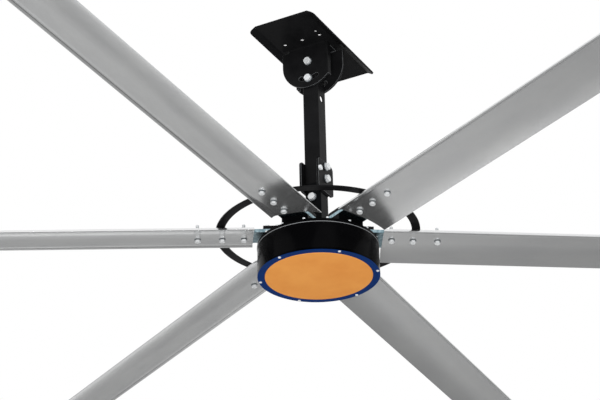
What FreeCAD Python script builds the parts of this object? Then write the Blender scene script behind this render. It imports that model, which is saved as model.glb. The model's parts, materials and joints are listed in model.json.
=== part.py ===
# Industrial ceiling fan: six extruded blades on a gearless hub, hung from a tilting yoke.
# Sizes are in millimetres and degrees. The origin is the middle of the ceiling plate's
# top face, +Z is up, +Y runs along the tilt axis and the hub hangs below.
import math
import os

import FreeCAD
import Part
import Sketcher

SIZES = {
    # ceiling plate
    "plate_width": 206,
    "plate_length": 476,
    "plate_thickness": 6,
    "lip_length": 30,
    "lip_angle": 32,
    "plate_corner": 14,
    "plate_hole": 14,
    "hole_column": 69,
    "hole_row": 79,
    "tether_hole": 12,
    "tether_row": 108,
    # yoke
    "pivot_drop": 71,
    "cheek_radius": 103,
    "cheek_thickness": 8,
    "shoulder_height": 57,
    "neck_width": 156,
    "neck_bend": 6,
    "return_depth": 24,
    "return_drop": 66,
    "slot_radius": 70,
    "tilt_limit": 25,
    "slot_end_play": 1,
    "weld_leg": 6,
    # drop tube
    "tube_side": 60,
    "tube_wall": 5,
    "tube_corner": 6,
    "tube_length": 517,
    "tube_rise": 30,
    "side_play": 0.5,
    "side_hole": 24,
    "side_hole_drop": 144,
    "back_slot_width": 44,
    "back_slot_height": 60,
    "back_slot_rise": 17,
    # splice
    "splice_width": 108,
    "splice_above": 84,
    "splice_below": 33,
    "splice_thickness": 8,
    "splice_corner": 14,
    "splice_bolt_top": 67,
    "splice_bolt_middle": 20,
    "ear_screw_height": 43,
    "ear_screw_front": 46,
    # motor stem and shaft
    "stem_length": 140,
    "stem_height": 205,
    "stem_socket": 113,
    "stem_bolt_height": 85,
    "shaft_radius": 23,
    "shaft_start": 12,
    "shaft_gap": 1,
    # fasteners
    "heavy_bolt": 16,
    "medium_bolt": 12,
    "light_bolt": 10,
    "head_width_ratio": 1.5,
    "head_height_ratio": 0.64,
    "nut_height_ratio": 0.85,
    "washer_width_ratio": 1.9,
    "washer_height_ratio": 0.18,
    "bolt_end": 4,
    "blade_bolt_end": 21,
    "hole_clearance": 0.5,
    "running_clearance": 0.06,
    "slide_gap": 0.1,
    # hub casing
    "drum_radius": 208,
    "drum_wall": 13,
    "drum_height": 101,
    "drum_flange": 8,
    "drum_flange_reach": 23,
    "drum_lip": 1.2,
    "drum_lip_height": 4,
    "cover_thickness": 8,
    "bottom_cover_radius": 208.5,
    "face_radius": 183.4,
    "face_thickness": 3,
    "face_sink": 2,
    "rim_screw_circle": 202,
    "rim_screw_angle": 17.8,
    "rim_screw": 6,
    "top_screw_circle": 203,
    "top_screw_angle": 14.6,
    "top_screw_count": 16,
    "top_screw": 6,
    "screw_depth": 6,
    "cap_head_ratio": 0.8,
    "pan_head_ratio": 0.9,
    # bearings
    "bearing_width": 16,
    "bearing_ring": 6,
    "bearing_ball": 10,
    "bearing_ball_count": 14,
    "boss_wall": 13,
    "boss_lip": 4,
    # motor
    "stator_height": 52,
    "stator_start": 32,
    "stator_depth": 48,
    "slot_count": 18,
    "coil_width": 13,
    "coil_depth": 24,
    "coil_overhang": 8,
    "tooth_tip": 4,
    "air_gap": 1.2,
    "magnet_thickness": 10.5,
    "magnet_count": 20,
    "magnet_angle": 15,
    "carrier_thickness": 16,
    "carrier_boss": 20,
    # blades
    "blade_count": 6,
    "blade_angle": 31.8,
    "blade_height": 153.4,
    "blade_pitch": 4.9,
    "blade_droop": 1.25,
    "fan_radius": 1800,
    "blade_root": 222,
    "blade_front": 65,
    "blade_back": 125,
    "nose_drop": 12,
    "nose_lip": 2.3,
    "tail_drop": 25,
    "tail_edge": 2,
    "skin_top": 4,
    "skin_bottom": 3,
    "skin_tail": 2.4,
    "web": 3.5,
    "land_half": 18,
    "groove_width": 1.2,
    "groove_depth": 0.8,
    "groove_from_front": 10,
    # spigots and clamps
    "spigot_front": 42,
    "spigot_back": 56,
    "spigot_thickness": 12,
    "spigot_start": 116,
    "spigot_end": 450,
    "spigot_side_play": 0.4,
    "bolt_inner": 253,
    "bolt_ring": 327,
    "bolt_outer": 411,
    "clamp_start": 126,
    "clamp_end": 189,
    "clamp_thickness": 12,
    "clamp_screw_inset": 14,
    "clamp_screw_depth": 14,
    # safety ring
    "ring_inner": 322,
    "ring_outer": 351,
    "ring_thickness": 5,
    "ring_rise": 6.6,
    "ring_nut_seat": 22.5,
}

X = FreeCAD.Vector(1, 0, 0)
Y = FreeCAD.Vector(0, 1, 0)
Z = FreeCAD.Vector(0, 0, 1)

doc = FreeCAD.newDocument("ceiling_fan")
sheet = doc.addObject("Spreadsheet::Sheet", "sheet")
for row, (alias, number) in enumerate(SIZES.items(), 1):
    sheet.set(f"A{row}", alias)
    sheet.set(f"B{row}", str(number))
    sheet.setAlias(f"B{row}", alias)
doc.recompute()

nodes = []


class Size:
    """A number together with the sheet expression that gives it."""

    def __init__(self, value, text):
        self.value = value
        self.text = text

    def __add__(self, other):
        other = as_size(other)
        return Size(self.value + other.value, f"({self.text} + {other.text})")

    def __sub__(self, other):
        other = as_size(other)
        return Size(self.value - other.value, f"({self.text} - {other.text})")

    def __mul__(self, other):
        other = as_size(other)
        return Size(self.value * other.value, f"({self.text} * {other.text})")

    def __truediv__(self, other):
        other = as_size(other)
        return Size(self.value / other.value, f"({self.text} / {other.text})")

    def __neg__(self):
        return Size(-self.value, f"(-1 * {self.text})")


def as_size(number):
    """Give a plain number the form of a size."""
    if isinstance(number, Size):
        return number
    return Size(float(number), f"{float(number):.6f}")


def size(alias):
    """Read one size from the sheet."""
    return Size(float(sheet.get(alias)), f"sheet.{alias}")


def sine(angle):
    """Sine of a size in degrees."""
    return Size(math.sin(math.radians(angle.value)), f"sin({angle.text})")


def cosine(angle):
    """Cosine of a size in degrees."""
    return Size(math.cos(math.radians(angle.value)), f"cos({angle.text})")


def shift(x=0, y=0, z=0):
    """Placement that only moves."""
    values = [as_size(number).value for number in (x, y, z)]
    return FreeCAD.Placement(FreeCAD.Vector(*values), FreeCAD.Rotation())


def turn(axis, angle):
    """Placement that only turns about an axis through the origin."""
    return FreeCAD.Placement(FreeCAD.Vector(), FreeCAD.Rotation(axis, as_size(angle).value))


# Sizes that follow from the sheet
hub_drop = (size("pivot_drop") - size("tube_rise") + size("tube_length")
            + size("stem_length") + size("stem_height"))
tube_bottom = size("tube_length") - size("tube_rise")
tube_half = size("tube_side") / 2
cheek_inner = tube_half + size("side_play")
cheek_outer = cheek_inner + size("cheek_thickness")
splice_outer = tube_half + size("splice_thickness")
ring_height = size("blade_height") + size("ring_rise")
drum_top = size("cover_thickness") + size("drum_height")
hub_top = drum_top + size("cover_thickness")
drum_bore = size("drum_radius") - size("drum_wall")
magnet_inner = drum_bore - size("magnet_thickness")
stator_outer = magnet_inner - size("air_gap")
stator_inner = stator_outer - size("stator_depth")
ball_inner = size("shaft_radius") + size("bearing_ring")
ball_outer = ball_inner + size("bearing_ball")
bearing_outer = ball_outer + size("bearing_ring")
boss_radius = bearing_outer + size("boss_wall")
upper_bearing = hub_top - size("boss_lip") - size("bearing_width")
spigot_half = size("spigot_thickness") / 2
blade_top = spigot_half + size("skin_top")
blade_bottom = spigot_half + size("skin_bottom")
clamp_top = spigot_half + size("clamp_thickness")

# Frames of the main groups
pivot_frame = shift(z=-size("pivot_drop"))
hub_frame = shift(z=-hub_drop)
FRONT_TO_BACK = turn(X, -90)
RIGHT_TO_LEFT = turn(Y, -90)


def blade_offset():
    """First blade's frame from the hub's bottom: X outwards, -Y to the leading edge."""
    pitched = turn(Y, size("blade_droop")) * turn(X, -size("blade_pitch"))
    return shift(z=size("blade_height")) * turn(Z, size("blade_angle")) * pitched


def blade_frame(index):
    """Frame of one blade in the part's own axes."""
    return hub_frame * turn(Z, 360 / size("blade_count").value * index) * blade_offset()


def new_body(label, place=None):
    """Start a body that becomes one node."""
    body = doc.addObject("PartDesign::Body", label)
    body.Label = label
    if place is not None:
        body.Placement = place
    nodes.append(body)
    return body


def origin_feature(body, role):
    """Origin plane or axis of a body by its role."""
    for feature in body.Origin.OriginFeatures:
        if feature.Role == role:
            return feature
    raise ValueError(role)


def new_sketch(body, plane="XY_Plane", offset=None):
    """Add a sketch on one of the body's origin planes."""
    sketch = body.newObject("Sketcher::SketchObject", body.Label + "_sketch")
    sketch.AttachmentSupport = (origin_feature(body, plane), [""])
    sketch.MapMode = "FlatFace"
    if offset is not None:
        sketch.AttachmentOffset = offset
    return sketch


def pin_points(sketch, points):
    """Tie sketch points to their distances from the sketch's origin."""
    for geometry, point, x, y in points:
        for kind, distance in (("DistanceX", as_size(x)), ("DistanceY", as_size(y))):
            constraint = Sketcher.Constraint(kind, -1, 1, geometry, point, distance.value)
            index = sketch.addConstraint(constraint)
            sketch.setExpression(f"Constraints[{index}]", distance.text)


def polygon(sketch, corners):
    """Draw a closed outline whose corners are all sized."""
    corners = [(as_size(x), as_size(y)) for x, y in corners]
    vectors = [FreeCAD.Vector(x.value, y.value, 0) for x, y in corners]
    first = sketch.GeometryCount
    count = len(corners)
    for index in range(count):
        sketch.addGeometry(Part.LineSegment(vectors[index], vectors[(index + 1) % count]))
    for index in range(count):
        following = first + (index + 1) % count
        sketch.addConstraint(Sketcher.Constraint("Coincident", first + index, 2, following, 1))
    pin_points(sketch, [(first + index, 1, *corner) for index, corner in enumerate(corners)])


def rectangle(sketch, left, bottom, right, top):
    """Draw a rectangle between two corners."""
    polygon(sketch, [(left, bottom), (right, bottom), (right, top), (left, top)])


def hexagon(sketch, x, y, width):
    """Draw a hexagon of a given width across its flats."""
    corner = as_size(width) / math.sqrt(3)
    angles = [math.radians(60 * step) for step in range(6)]
    polygon(sketch, [(as_size(x) + corner * math.cos(angle), as_size(y) + corner * math.sin(angle))
                     for angle in angles])


def circle(sketch, x, y, radius):
    """Draw a sized circle."""
    x, y, radius = as_size(x), as_size(y), as_size(radius)
    middle = FreeCAD.Vector(x.value, y.value, 0)
    geometry = sketch.addGeometry(Part.Circle(middle, Z, radius.value))
    pin_points(sketch, [(geometry, 3, x, y)])
    index = sketch.addConstraint(Sketcher.Constraint("Radius", geometry, radius.value))
    sketch.setExpression(f"Constraints[{index}]", radius.text)


def pad(body, sketch, length, symmetric=False, reverse=False):
    """Raise a sketch into a solid."""
    feature = body.newObject("PartDesign::Pad", body.Label + "_pad")
    feature.Profile = (sketch, [""])
    feature.setExpression("Length", as_size(length).text)
    if symmetric:
        feature.SideType = "Symmetric"
    feature.Reversed = reverse
    doc.recompute()
    return feature


def pocket(body, sketch, length=None, reverse=False):
    """Cut a sketch to a depth, or right through both ways."""
    feature = body.newObject("PartDesign::Pocket", body.Label + "_pocket")
    feature.Profile = (sketch, [""])
    if length is None:
        feature.Type = "ThroughAll"
        feature.SideType = "Symmetric"
    else:
        feature.setExpression("Length", as_size(length).text)
    feature.Reversed = reverse
    doc.recompute()
    return feature


def revolve(body, sketch, axis="Z_Axis", angle=360, kind="Revolution"):
    """Turn a sketch about an origin axis, adding or cutting."""
    feature = body.newObject("PartDesign::" + kind, body.Label + "_turned")
    feature.Profile = (sketch, [""])
    feature.ReferenceAxis = (origin_feature(body, axis), [""])
    feature.setExpression("Angle", as_size(angle).text)
    feature.Midplane = True
    doc.recompute()
    return feature


def polar(body, features, count):
    """Repeat features evenly about the body's Z axis."""
    pattern = body.newObject("PartDesign::PolarPattern", body.Label + "_pattern")
    pattern.Originals = features
    pattern.Axis = (origin_feature(body, "Z_Axis"), [""])
    pattern.Angle = 360
    pattern.setExpression("Occurrences", count.text)
    body.Tip = pattern
    doc.recompute()


def round_edges(body, feature, radius, chosen, kind="Fillet"):
    """Round or bevel the edges of a feature that a test picks."""
    names = [f"Edge{number}" for number, edge in enumerate(feature.Shape.Edges, 1) if chosen(edge)]
    dressed = body.newObject("PartDesign::" + kind, body.Label + "_edges")
    dressed.Base = (feature, names)
    dressed.setExpression("Radius" if kind == "Fillet" else "Size", as_size(radius).text)
    doc.recompute()
    return dressed


def runs_along(edge, axis):
    """True for a straight edge parallel to an axis."""
    if edge.Curve.TypeId != "Part::GeomLine":
        return False
    return abs(abs(edge.tangentAt(edge.FirstParameter).dot(axis)) - 1) < 1e-6


def is_circle_at(edge, height):
    """True for a full circle in a body at a height along its Z axis."""
    if edge.Curve.TypeId != "Part::GeomCircle":
        return False
    return abs(edge.Curve.Center.z - height) < 1e-6


def hex_bolts(label, place, centres, diameter, length):
    """Hexagon bolts: heads below the body's XY plane, shanks rising from it."""
    body = new_body(label, place)
    shanks = new_sketch(body)
    heads = new_sketch(body)
    for x, y in centres:
        circle(shanks, x, y, diameter / 2)
        hexagon(heads, x, y, diameter * size("head_width_ratio"))
    raised = pad(body, shanks, length)
    end = as_size(length).value
    round_edges(body, raised, diameter / 10, lambda edge: is_circle_at(edge, end), "Chamfer")
    pad(body, heads, diameter * size("head_height_ratio"), reverse=True)


def hex_nuts(label, place, centres, diameter, seat):
    """Hexagon nuts standing on a seat above the body's XY plane."""
    body = new_body(label, place)
    sketch = new_sketch(body, offset=shift(z=seat))
    for x, y in centres:
        hexagon(sketch, x, y, diameter * size("head_width_ratio"))
        circle(sketch, x, y, diameter / 2 + size("running_clearance"))
    pad(body, sketch, diameter * size("nut_height_ratio"))


def washers(label, place, centres, diameter, starts):
    """Plain washers at one or more heights on the same bolts."""
    body = new_body(label, place)
    for start in starts:
        sketch = new_sketch(body, offset=shift(z=start))
        for x, y in centres:
            circle(sketch, x, y, diameter * size("washer_width_ratio") / 2)
            circle(sketch, x, y, diameter / 2 + size("hole_clearance"))
        pad(body, sketch, diameter * size("washer_height_ratio"))


def through_bolt(name, place, centres, diameter, grip):
    """Bolt, nut and two washers that clamp a grip starting at the frame's XY plane."""
    washer = diameter * size("washer_height_ratio")
    lowered = place * shift(z=-washer)
    seat = grip + washer * 2
    length = seat + diameter * size("nut_height_ratio") + size("bolt_end")
    many = "s" if len(centres) > 1 else ""
    hex_bolts(f"{name}_bolt{many}", lowered, centres, diameter, length)
    hex_nuts(f"{name}_nut{many}", lowered, centres, diameter, seat)
    washers(f"{name}_washers", lowered, centres, diameter, (0, washer + grip))


def make_top_plate():
    """Flat plate with its two long edges bent down and a grid of bolt holes."""
    body = new_body("top_plate")
    thick = size("plate_thickness")
    along = cosine(size("lip_angle"))
    down = sine(size("lip_angle"))
    bend = size("plate_width") / 2
    under_bend = bend - thick * down / (along + 1)
    outer = bend + size("lip_length") * along
    drop = size("lip_length") * down
    right = [(bend, 0), (outer, -drop), (outer - thick * down, -drop - thick * along), (under_bend, -thick)]
    left = [(-x, z) for x, z in reversed(right)]
    section = new_sketch(body, "XZ_Plane")
    polygon(section, right + left)
    folded = pad(body, section, size("plate_length"), symmetric=True)
    end = size("plate_length").value / 2

    def at_corner(edge):
        across = abs(edge.Length - thick.value) < 1e-4
        return across and abs(edge.BoundBox.Center.y) > end - 1

    round_edges(body, folded, size("plate_corner"), at_corner)
    holes = new_sketch(body)
    for column in (-1, 0, 1):
        for row in (-1, 1):
            circle(holes, size("hole_column") * column, size("hole_row") * row, size("plate_hole") / 2)
    circle(holes, size("hole_column"), -size("tether_row"), size("tether_hole") / 2)
    pocket(body, holes)


def make_yoke():
    """Bent U: a crown under the plate and two cheeks, each with a shoulder, a side return and a slot."""
    body = new_body("yoke", pivot_frame)
    thick = size("cheek_thickness")
    radius = size("cheek_radius")
    neck = size("neck_width") / 2
    top = size("pivot_drop") - size("plate_thickness")
    inside = shift(z=cheek_inner)

    disc = new_sketch(body, "XZ_Plane", inside)
    circle(disc, 0, 0, radius)
    cheek = pad(body, disc, thick)
    above = new_sketch(body, "XZ_Plane", inside)
    polygon(above, [(-radius * 2, 0), (neck, 0), (neck, -radius * 2), (radius * 2, -radius * 2),
                    (radius * 2, radius * 2), (-radius * 2, radius * 2)])
    trimmed = pocket(body, above, thick, reverse=True)
    upright = new_sketch(body, "XZ_Plane", inside)
    polygon(upright, [(-radius, 0), (neck, 0), (neck, top), (-neck, top),
                      (-neck, size("shoulder_height")), (-radius, size("shoulder_height"))])
    wall = pad(body, upright, thick)
    corner = new_sketch(body, offset=shift(z=-size("return_drop")))
    rectangle(corner, neck - thick, -cheek_outer, neck, size("return_depth") - cheek_outer)
    side = pad(body, corner, size("return_drop") + top)
    polar(body, [cheek, trimmed, wall, side], Size(2, "2"))
    crown = new_sketch(body, offset=shift(z=top - thick))
    rectangle(crown, -neck, -cheek_outer, neck, cheek_outer)
    joined = pad(body, crown, thick)

    front = cheek_outer.value
    reach = neck.value

    def at_bend(edge):
        middle = edge.BoundBox.Center
        on_diagonal = abs(middle.x * front + middle.y * reach) < 1e-3
        return runs_along(edge, Z) and on_diagonal and abs(abs(middle.x) - reach) < 1e-4

    round_edges(body, joined, size("neck_bend"), at_bend)
    bores = new_sketch(body, "XZ_Plane")
    hole = size("heavy_bolt") / 2 + size("hole_clearance")
    circle(bores, 0, 0, size("heavy_bolt") / 2 + size("running_clearance"))
    swing = size("tilt_limit") + size("slot_end_play")
    for side in (-1, 1):
        circle(bores, size("slot_radius") * sine(swing) * side,
               -size("slot_radius") * cosine(swing), hole)
    pocket(body, bores)
    slot = new_sketch(body, "YZ_Plane")
    width = cheek_outer * 2
    rectangle(slot, -width, -size("slot_radius") - hole, width, -size("slot_radius") + hole)
    revolve(body, slot, "Y_Axis", swing * 2, "Groove")


def make_yoke_welds():
    """Two fillet welds along the front and back of the yoke's neck, under the plate."""
    body = new_body("yoke_welds", pivot_frame)
    top = size("pivot_drop") - size("plate_thickness")
    leg = size("weld_leg")
    sketch = new_sketch(body, "YZ_Plane")
    for side in (-1, 1):
        polygon(sketch, [(cheek_outer * side, top), ((cheek_outer + leg) * side, top),
                         (cheek_outer * side, top - leg)])
    pad(body, sketch, size("neck_width") - size("neck_bend") * 2, symmetric=True)


def make_drop_tube():
    """Square tube with its bolt holes, a round hole in its side and a cable slot in its back."""
    body = new_body("drop_tube", pivot_frame)
    inner = tube_half - size("tube_wall")
    section = new_sketch(body, offset=shift(z=-tube_bottom))
    rectangle(section, -tube_half, -tube_half, tube_half, tube_half)
    rectangle(section, -inner, -inner, inner, inner)
    raised = pad(body, section, size("tube_length"))
    outside = inner.value + 1
    round_edges(body, raised, size("tube_corner"),
                lambda edge: runs_along(edge, Z) and abs(edge.BoundBox.Center.x) > outside)
    front = new_sketch(body, "XZ_Plane")
    circle(front, 0, 0, size("heavy_bolt") / 2 + size("running_clearance"))
    circle(front, 0, -size("slot_radius"), size("heavy_bolt") / 2 + size("hole_clearance"))
    pocket(body, front)
    side = new_sketch(body, "YZ_Plane")
    for height, sideways in splice_bolt_places():
        circle(side, sideways, height - tube_bottom, size("heavy_bolt") / 2 + size("hole_clearance"))
    pocket(body, side)
    cable = new_sketch(body, "YZ_Plane")
    circle(cable, 0, -size("side_hole_drop"), size("side_hole") / 2)
    pocket(body, cable, tube_half, reverse=True)
    back = new_sketch(body, "XZ_Plane")
    half = size("back_slot_width") / 2
    reach = size("back_slot_height") / 2
    middle = size("back_slot_rise") - size("side_hole_drop")
    rectangle(back, -half, middle - reach, half, middle + reach)
    pocket(body, back, tube_half)


def splice_bolt_places():
    """Heights above the tube's end and sideways places of the splice bolts."""
    return [(size("splice_bolt_top"), 0), (size("splice_bolt_middle"), 0)]


def ear_screw_place():
    """Height and sideways place of the screw in the right splice plate's front edge."""
    return size("ear_screw_height"), -size("ear_screw_front")


def make_splice_plate(label, side):
    """Rounded plate on one side of the tube and stem."""
    body = new_body(label, pivot_frame * shift(z=-tube_bottom))
    inner = -splice_outer if side < 0 else tube_half
    sketch = new_sketch(body, "YZ_Plane", shift(z=inner))
    half = size("splice_width") / 2
    rectangle(sketch, -half, -size("splice_below"), half, size("splice_above"))
    raised = pad(body, sketch, size("splice_thickness"))
    round_edges(body, raised, size("splice_corner"), lambda edge: runs_along(edge, X))
    holes = new_sketch(body, "YZ_Plane")
    for height, sideways in splice_bolt_places():
        circle(holes, sideways, height, size("heavy_bolt") / 2 + size("hole_clearance"))
    if side > 0:
        height, sideways = ear_screw_place()
        circle(holes, sideways, height, size("medium_bolt") / 2 + size("running_clearance"))
    pocket(body, holes)


def make_splice_welds():
    """Two fillet welds under the splice plates, on the flats of the stem's sides."""
    body = new_body("splice_welds", pivot_frame * shift(z=-tube_bottom))
    end = -size("splice_below")
    leg = size("weld_leg")
    sketch = new_sketch(body, "XZ_Plane")
    for side in (-1, 1):
        inner, outer = tube_half * side, (tube_half + leg) * side
        polygon(sketch, [(inner, end), (outer, end), (inner, end - leg)])
    pad(body, sketch, size("tube_side") - size("tube_corner") * 2, symmetric=True)


def make_stem():
    """Square stub with a round socket for the motor shaft."""
    body = new_body("motor_stem", hub_frame * shift(z=size("stem_height")))
    section = new_sketch(body)
    rectangle(section, -tube_half, -tube_half, tube_half, tube_half)
    raised = pad(body, section, size("stem_length"))
    round_edges(body, raised, size("tube_corner"), lambda edge: runs_along(edge, Z))
    socket = new_sketch(body)
    circle(socket, 0, 0, size("shaft_radius"))
    pocket(body, socket, size("stem_socket"), reverse=True)
    front = new_sketch(body, "XZ_Plane")
    circle(front, 0, size("stem_bolt_height"), size("heavy_bolt") / 2 + size("hole_clearance"))
    pocket(body, front)


def make_shaft():
    """Standing motor shaft with the hole of the stem's cross bolt."""
    body = new_body("motor_shaft", hub_frame)
    end = size("stem_height") + size("stem_socket")
    section = new_sketch(body, offset=shift(z=size("shaft_start")))
    circle(section, 0, 0, size("shaft_radius"))
    pad(body, section, end - size("shaft_start"))
    front = new_sketch(body, "XZ_Plane")
    circle(front, 0, size("stem_height") + size("stem_bolt_height"),
           size("heavy_bolt") / 2 + size("hole_clearance"))
    pocket(body, front)


def make_stator():
    """Carrier, toothed core and coils on the shaft."""
    middle = size("stator_start") + size("stator_height") / 2
    carrier = new_body("stator_carrier", hub_frame)
    section = new_sketch(carrier, "XZ_Plane")
    disc = size("carrier_thickness") / 2
    boss = disc + size("carrier_boss") / 2
    hub = boss_radius
    polygon(section, [(size("shaft_radius"), middle - boss), (hub, middle - boss), (hub, middle - disc),
                      (stator_inner, middle - disc), (stator_inner, middle + disc),
                      (hub, middle + disc), (hub, middle + boss), (size("shaft_radius"), middle + boss)])
    revolve(carrier, section)

    core = new_body("stator_core", hub_frame)
    ring = new_sketch(core, offset=shift(z=size("stator_start")))
    circle(ring, 0, 0, stator_outer)
    circle(ring, 0, 0, stator_inner)
    pad(core, ring, size("stator_height"))
    coil_outer = stator_outer - size("tooth_tip")
    coil_inner = coil_outer - size("coil_depth")
    slot = new_sketch(core)
    rectangle(slot, coil_inner, -size("coil_width") / 2, magnet_inner, size("coil_width") / 2)
    polar(core, [pocket(core, slot)], size("slot_count"))

    coils = new_body("stator_coils", hub_frame)
    block = new_sketch(coils, offset=shift(z=size("stator_start") - size("coil_overhang")))
    rectangle(block, coil_inner, -size("coil_width") / 2, coil_outer, size("coil_width") / 2)
    raised = pad(coils, block, size("stator_height") + size("coil_overhang") * 2)
    polar(coils, [raised], size("slot_count"))


def bearing_starts():
    """Heights of the lower edges of the two bearings above the hub's bottom."""
    return (size("shaft_start"), upper_bearing)


def make_bearing_rings(label, inner, outer):
    """One ring of each bearing."""
    body = new_body(label, hub_frame)
    for start in bearing_starts():
        sketch = new_sketch(body, offset=shift(z=start))
        circle(sketch, 0, 0, outer)
        circle(sketch, 0, 0, inner)
        pad(body, sketch, size("bearing_width"))


def make_bearing_balls():
    """Balls of both bearings, carried by the outer rings."""
    body = new_body("bearing_balls", hub_frame)
    radius = size("bearing_ball") / 2 - size("running_clearance") / 2
    centre = ball_outer - radius
    balls = []
    for start in bearing_starts():
        level = start + size("bearing_width") / 2
        ball = body.newObject("PartDesign::AdditiveSphere", "ball")
        ball.setExpression("Radius", radius.text)
        ball.AttachmentSupport = (origin_feature(body, "XY_Plane"), [""])
        ball.MapMode = "FlatFace"
        ball.AttachmentOffset = shift(centre, 0, level)
        balls.append(ball)
    doc.recompute()
    polar(body, balls, size("bearing_ball_count"))


def make_drum():
    """Hub wall with a flange at each end and a thin lip round its top."""
    body = new_body("motor_drum", hub_frame)
    low = size("cover_thickness")
    outer = size("drum_radius")
    lip = outer + size("drum_lip")
    flange = outer - size("drum_flange_reach")
    section = new_sketch(body, "XZ_Plane")
    polygon(section, [(flange, low), (outer, low), (outer, drum_top - size("drum_lip_height")),
                      (lip, drum_top - size("drum_lip_height")), (lip, drum_top), (flange, drum_top),
                      (flange, drum_top - size("drum_flange")), (drum_bore, drum_top - size("drum_flange")),
                      (drum_bore, low + size("drum_flange")), (flange, low + size("drum_flange"))])
    turned = revolve(body, section)
    lip_edge = lip.value
    round_edges(body, turned, size("drum_lip") / 3, lambda edge: abs(edge.BoundBox.XMax - lip_edge) < 1e-4
                and edge.Curve.TypeId == "Part::GeomCircle")
    lower = new_sketch(body, offset=turn(Z, size("rim_screw_angle")) * shift(z=low))
    circle(lower, size("rim_screw_circle"), 0, size("rim_screw") / 2 + size("running_clearance"))
    polar(body, [pocket(body, lower, size("screw_depth"), reverse=True)], size("blade_count"))
    upper = new_sketch(body, offset=turn(Z, size("top_screw_angle")) * shift(z=drum_top))
    circle(upper, size("top_screw_circle"), 0, size("top_screw") / 2 + size("running_clearance"))
    polar(body, [pocket(body, upper, size("screw_depth"))], size("top_screw_count"))


def make_magnets():
    """Curved magnets on the drum's inner wall."""
    body = new_body("rotor_magnets", hub_frame)
    section = new_sketch(body, "XZ_Plane")
    start = size("stator_start")
    rectangle(section, magnet_inner, start, drum_bore, start + size("stator_height"))
    polar(body, [revolve(body, section, angle=size("magnet_angle"))], size("magnet_count"))


def make_top_cover():
    """Black cover with a bearing boss below and six sloped blade seats above."""
    body = new_body("top_cover", hub_frame)
    outer = size("drum_radius")
    opening = size("shaft_radius") + size("shaft_gap")
    shoulder = hub_top - size("boss_lip")
    section = new_sketch(body, "XZ_Plane")
    polygon(section, [(opening, hub_top), (opening, hub_top - size("boss_lip") / 2),
                      (ball_outer, hub_top - size("boss_lip") / 2), (ball_outer, shoulder),
                      (bearing_outer, shoulder), (bearing_outer, upper_bearing),
                      (boss_radius, upper_bearing), (boss_radius, drum_top), (outer, drum_top),
                      (outer, hub_top)])
    revolve(body, section)
    holes = new_sketch(body, offset=turn(Z, size("top_screw_angle")))
    circle(holes, size("top_screw_circle"), 0, size("top_screw") / 2 + size("hole_clearance"))
    polar(body, [pocket(body, holes)], size("top_screw_count"))
    base = new_sketch(body, offset=turn(Z, size("blade_angle")) * shift(z=hub_top))
    front, back = -size("spigot_front"), size("spigot_back")
    rectangle(base, size("clamp_start"), front, size("clamp_end"), back)
    block = pad(body, base, size("blade_height") - hub_top - front * sine(size("blade_pitch")))
    slope = new_sketch(body, offset=blade_offset() * shift(z=-spigot_half))
    spare = size("clamp_screw_inset") / 2
    rectangle(slope, size("clamp_start") - spare, front - spare, size("clamp_end") + spare, back + spare)
    cut = pocket(body, slope, back, reverse=True)
    threads = new_sketch(body, offset=blade_offset() * shift(z=-spigot_half))
    for x, y in clamp_screw_places():
        circle(threads, x, y, size("light_bolt") / 2 + size("running_clearance"))
    tapped = pocket(body, threads, size("clamp_screw_depth"))
    polar(body, [block, cut, tapped], size("blade_count"))


def make_bottom_cover():
    """Blue cover with a bearing boss above and a shallow recess for the face disc."""
    body = new_body("bottom_cover", hub_frame)
    low = size("cover_thickness")
    recess = size("face_radius") + size("hole_clearance")
    boss_top = size("shaft_start") + size("bearing_width")
    section = new_sketch(body, "XZ_Plane")
    polygon(section, [(0, size("face_sink")), (recess, size("face_sink")), (recess, 0),
                      (size("bottom_cover_radius"), 0), (size("bottom_cover_radius"), low),
                      (boss_radius, low), (boss_radius, boss_top), (bearing_outer, boss_top),
                      (bearing_outer, size("shaft_start")), (ball_outer, size("shaft_start")),
                      (ball_outer, low), (0, low)])
    revolve(body, section)
    holes = new_sketch(body, offset=turn(Z, size("rim_screw_angle")))
    circle(holes, size("rim_screw_circle"), 0, size("rim_screw") / 2 + size("hole_clearance"))
    polar(body, [pocket(body, holes)], size("blade_count"))


def make_face_disc():
    """Plain coloured disc on the bottom cover."""
    body = new_body("face_disc", hub_frame)
    sketch = new_sketch(body, offset=shift(z=size("face_sink") - size("face_thickness")))
    circle(sketch, 0, 0, size("face_radius"))
    raised = pad(body, sketch, size("face_thickness"))
    level = size("face_sink").value - size("face_thickness").value
    round_edges(body, raised, size("face_thickness") / 5, lambda edge: is_circle_at(edge, level))


def make_screw_group(label, angle, radius, count, diameter, level, head_down, head_radius, head_height):
    """Circle of cover screws as separate solids."""
    body = new_body(label, hub_frame)
    seat = turn(Z, angle) * shift(z=level)
    head = new_sketch(body, offset=seat)
    circle(head, radius, 0, head_radius)
    cap = pad(body, head, head_height, reverse=head_down)
    shank = new_sketch(body, offset=seat)
    circle(shank, radius, 0, diameter / 2)
    stem = pad(body, shank, size("cover_thickness") + size("screw_depth"), reverse=not head_down)
    polar(body, [cap, stem], count)


def make_spigot(index):
    """Plated flat iron that carries one blade."""
    body = new_body(f"spigot_{index + 1}", blade_frame(index))
    sketch = new_sketch(body)
    rectangle(sketch, size("spigot_start"), -size("spigot_front"), size("spigot_end"), size("spigot_back"))
    pad(body, sketch, size("spigot_thickness"), symmetric=True)
    holes = new_sketch(body)
    for radius in (size("bolt_inner"), size("bolt_ring"), size("bolt_outer")):
        circle(holes, radius, 0, size("medium_bolt") / 2 + size("hole_clearance"))
    for x, y in clamp_screw_places():
        circle(holes, x, y, size("light_bolt") / 2 + size("hole_clearance"))
    pocket(body, holes)


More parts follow.
